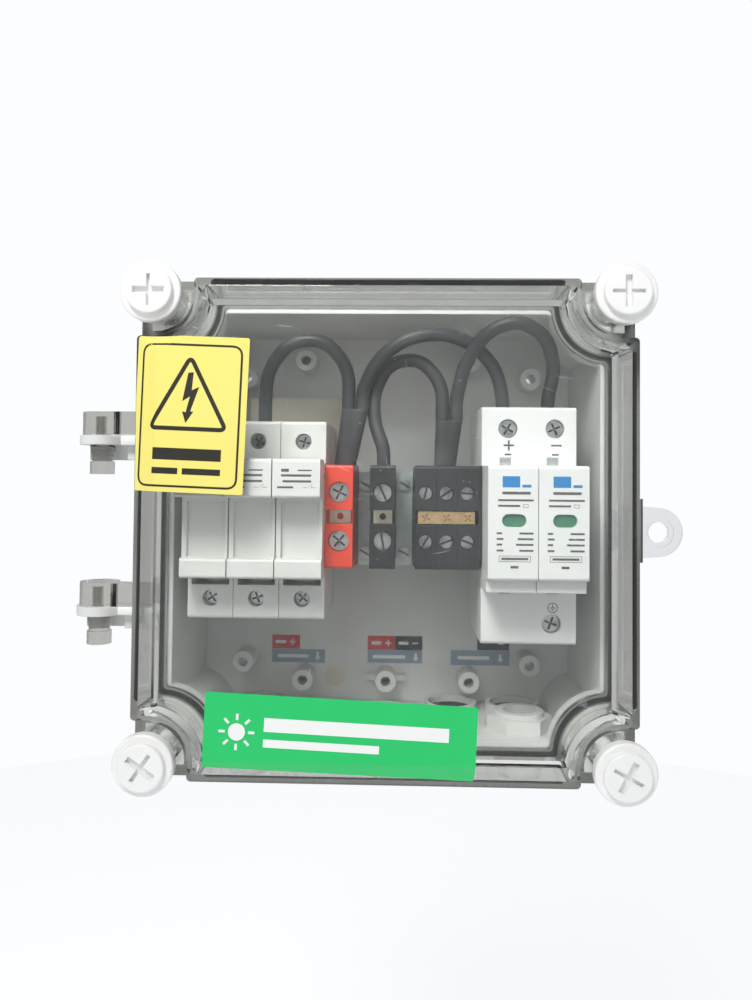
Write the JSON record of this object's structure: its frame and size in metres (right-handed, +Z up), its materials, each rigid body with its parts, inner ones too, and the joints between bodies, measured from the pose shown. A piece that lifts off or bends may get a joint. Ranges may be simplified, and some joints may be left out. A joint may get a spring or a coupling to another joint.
{
  "type": "dc combiner box",
  "caption": "Wall-mounted dc combiner box with a hinged clear lid, fuse holders, rail terminals and a plug-in surge arrester on a DIN rail.",
  "frame": {"origin": "centre of the base's flat back face, on the wall", "axes": "+X to the right seen from the front, +Z up, +Y into the wall, so the lid faces -Y"},
  "size_m": [0.2346, 0.0953, 0.1999],
  "materials": {
    "enclosure_white": "fine moulded, satin",
    "clear_cover": "clear, smoky grey, polished with light scratches",
    "clear_pin": "clear, moulded",
    "nylon_white": "satin, slightly translucent",
    "gland_nylon": "satin",
    "seal_rubber": "matt",
    "gasket_foam": "matt, spongy",
    "rail_zinc": "zinc plated, satin",
    "screw_steel": "zinc plated",
    "fuse_plastic": "satin",
    "fuse_ceramic": "glossy, plated end caps",
    "contact_metal": "tin plated",
    "red_plastic": "satin",
    "black_plastic": "satin",
    "brass": "bright",
    "spd_plastic": "satin",
    "flag_green": "satin",
    "label_yellow": "printed vinyl",
    "label_green": "printed vinyl",
    "marking_stickers": "printed",
    "board_beige": "pressboard",
    "wire_black": "pvc insulation, satin",
    "sleeve_black": "heat-shrunk, matt"
  },
  "bodies": {
    "enclosure": {"enclosure_base": "enclosure_white", "hinge_pins": "clear_pin", "gland_bodies": "gland_nylon", "gland_locknuts": "gland_nylon", "gland_dome_nuts": "gland_nylon", "gland_seals": "seal_rubber", "knockout_plugs": "seal_rubber", "lid_gasket": "gasket_foam", "din_rail": "rail_zinc", "end_clamps": "rail_zinc", "rail_screws": "screw_steel", "fuse_terminal_screws": "screw_steel", "terminal_screws": "screw_steel", "spd_terminal_screws": "screw_steel", "fuse_body_1": "fuse_plastic", "fuse_body_2": "fuse_plastic", "fuse_body_3": "fuse_plastic", "fuse_contacts": "contact_metal", "spd_sockets": "contact_metal", "terminal_bars": "contact_metal", "red_terminal": "red_plastic", "black_terminals": "black_plastic", "block_end_plate": "black_plastic", "jumper_bar": "brass", "jumper_screws": "brass", "spd_base": "spd_plastic", "wiring_labels": "marking_stickers", "insulation_strip": "board_beige", "wire_fuse_to_red": "wire_black", "wire_red_to_spd": "wire_black", "wire_black_to_block": "wire_black", "wire_block_to_spd": "wire_black", "wire_sleeves": "sleeve_black"},
    "lid": {"lid": "clear_cover", "warning_label": "label_yellow", "name_label": "label_green"},
    "screw_seal_1": {"lid_screw_seal_1": "seal_rubber"},
    "screw_1": {"lid_screw_1": "nylon_white"},
    "screw_seal_2": {"lid_screw_seal_2": "seal_rubber"},
    "screw_2": {"lid_screw_2": "nylon_white"},
    "screw_seal_3": {"lid_screw_seal_3": "seal_rubber"},
    "screw_3": {"lid_screw_3": "nylon_white"},
    "screw_seal_4": {"lid_screw_seal_4": "seal_rubber"},
    "screw_4": {"lid_screw_4": "nylon_white"},
    "fuse_carrier_1": {"fuse_carrier_1": "fuse_plastic", "fuse_link_1": "fuse_ceramic"},
    "fuse_clip_1": {"fuse_rail_clip_1": "fuse_plastic"},
    "fuse_carrier_2": {"fuse_carrier_2": "fuse_plastic", "fuse_link_2": "fuse_ceramic"},
    "fuse_clip_2": {"fuse_rail_clip_2": "fuse_plastic"},
    "fuse_carrier_3": {"fuse_carrier_3": "fuse_plastic", "fuse_link_3": "fuse_ceramic"},
    "fuse_clip_3": {"fuse_rail_clip_3": "fuse_plastic"},
    "spd_module_1": {"spd_module_1": "spd_plastic", "spd_flag_1": "flag_green", "spd_blades_1": "contact_metal"},
    "spd_module_2": {"spd_module_2": "spd_plastic", "spd_flag_2": "flag_green", "spd_blades_2": "contact_metal"},
    "spd_clip": {"spd_rail_clip": "spd_plastic"}
  },
  "joints": [
    {"name": "lid_hinge", "type": "hinge", "parent": "enclosure", "child": "lid", "pos_m": [-0.112, -0.062, 0], "axis": [0, 0, -1], "range_deg": [0, 160]},
    {"name": "screw_lift_1", "type": "slide", "parent": "lid", "child": "screw_seal_1", "axis": [0, -1, 0], "range_m": [0, 0.006]},
    {"name": "screw_turn_1", "type": "hinge", "parent": "screw_seal_1", "child": "screw_1", "pos_m": [-0.086, -0.085, 0.0855], "axis": [0, -1, 0], "range_deg": [0, 864]},
    {"name": "screw_lift_2", "type": "slide", "parent": "lid", "child": "screw_seal_2", "axis": [0, -1, 0], "range_m": [0, 0.006]},
    {"name": "screw_turn_2", "type": "hinge", "parent": "screw_seal_2", "child": "screw_2", "pos_m": [0.086, -0.085, 0.0855], "axis": [0, -1, 0], "range_deg": [0, 864]},
    {"name": "screw_lift_3", "type": "slide", "parent": "lid", "child": "screw_seal_3", "axis": [0, -1, 0], "range_m": [0, 0.006]},
    {"name": "screw_turn_3", "type": "hinge", "parent": "screw_seal_3", "child": "screw_3", "pos_m": [-0.086, -0.085, -0.0855], "axis": [0, -1, 0], "range_deg": [0, 864]},
    {"name": "screw_lift_4", "type": "slide", "parent": "lid", "child": "screw_seal_4", "axis": [0, -1, 0], "range_m": [0, 0.006]},
    {"name": "screw_turn_4", "type": "hinge", "parent": "screw_seal_4", "child": "screw_4", "pos_m": [0.086, -0.085, -0.0855], "axis": [0, -1, 0], "range_deg": [0, 864]},
    {"name": "fuse_carrier_1_swing", "type": "hinge", "parent": "enclosure", "child": "fuse_carrier_1", "pos_m": [-0.067, -0.0695, 0.022], "axis": [-1, 0, 0], "range_deg": [0, 60]},
    {"name": "fuse_clip_1_slide", "type": "slide", "parent": "enclosure", "child": "fuse_clip_1", "axis": [0, 0, -1], "range_m": [0, 0.003], "stiffness_N_per_m": 150},
    {"name": "fuse_carrier_2_swing", "type": "hinge", "parent": "enclosure", "child": "fuse_carrier_2", "pos_m": [-0.0494, -0.0695, 0.022], "axis": [-1, 0, 0], "range_deg": [0, 60]},
    {"name": "fuse_clip_2_slide", "type": "slide", "parent": "enclosure", "child": "fuse_clip_2", "axis": [0, 0, -1], "range_m": [0, 0.003], "stiffness_N_per_m": 150},
    {"name": "fuse_carrier_3_swing", "type": "hinge", "parent": "enclosure", "child": "fuse_carrier_3", "pos_m": [-0.0318, -0.0695, 0.022], "axis": [-1, 0, 0], "range_deg": [0, 60]},
    {"name": "fuse_clip_3_slide", "type": "slide", "parent": "enclosure", "child": "fuse_clip_3", "axis": [0, 0, -1], "range_m": [0, 0.003], "stiffness_N_per_m": 150},
    {"name": "spd_module_1_pull", "type": "slide", "parent": "enclosure", "child": "spd_module_1", "axis": [0, -1, 0], "range_m": [0, 0.024]},
    {"name": "spd_module_2_pull", "type": "slide", "parent": "enclosure", "child": "spd_module_2", "axis": [0, -1, 0], "range_m": [0, 0.024]},
    {"name": "spd_clip_slide", "type": "slide", "parent": "enclosure", "child": "spd_clip", "axis": [0, 0, -1], "range_m": [0, 0.003], "stiffness_N_per_m": 150}
  ],
  "couplings": [
    {"joint": "screw_turn_1", "follows": "screw_lift_1", "rad_per_m": 2513.3},
    {"joint": "screw_turn_2", "follows": "screw_lift_2", "rad_per_m": 2513.3},
    {"joint": "screw_turn_3", "follows": "screw_lift_3", "rad_per_m": 2513.3},
    {"joint": "screw_turn_4", "follows": "screw_lift_4", "rad_per_m": 2513.3},
    {"joint": "fuse_carrier_1_swing", "follows": "lid_hinge", "ratio": 0.375},
    {"joint": "fuse_carrier_2_swing", "follows": "lid_hinge", "ratio": 0.375},
    {"joint": "fuse_carrier_3_swing", "follows": "lid_hinge", "ratio": 0.375},
    {"joint": "spd_module_1_pull", "follows": "lid_hinge", "m_per_rad": 0.0085},
    {"joint": "spd_module_2_pull", "follows": "lid_hinge", "m_per_rad": 0.0085}
  ]
}
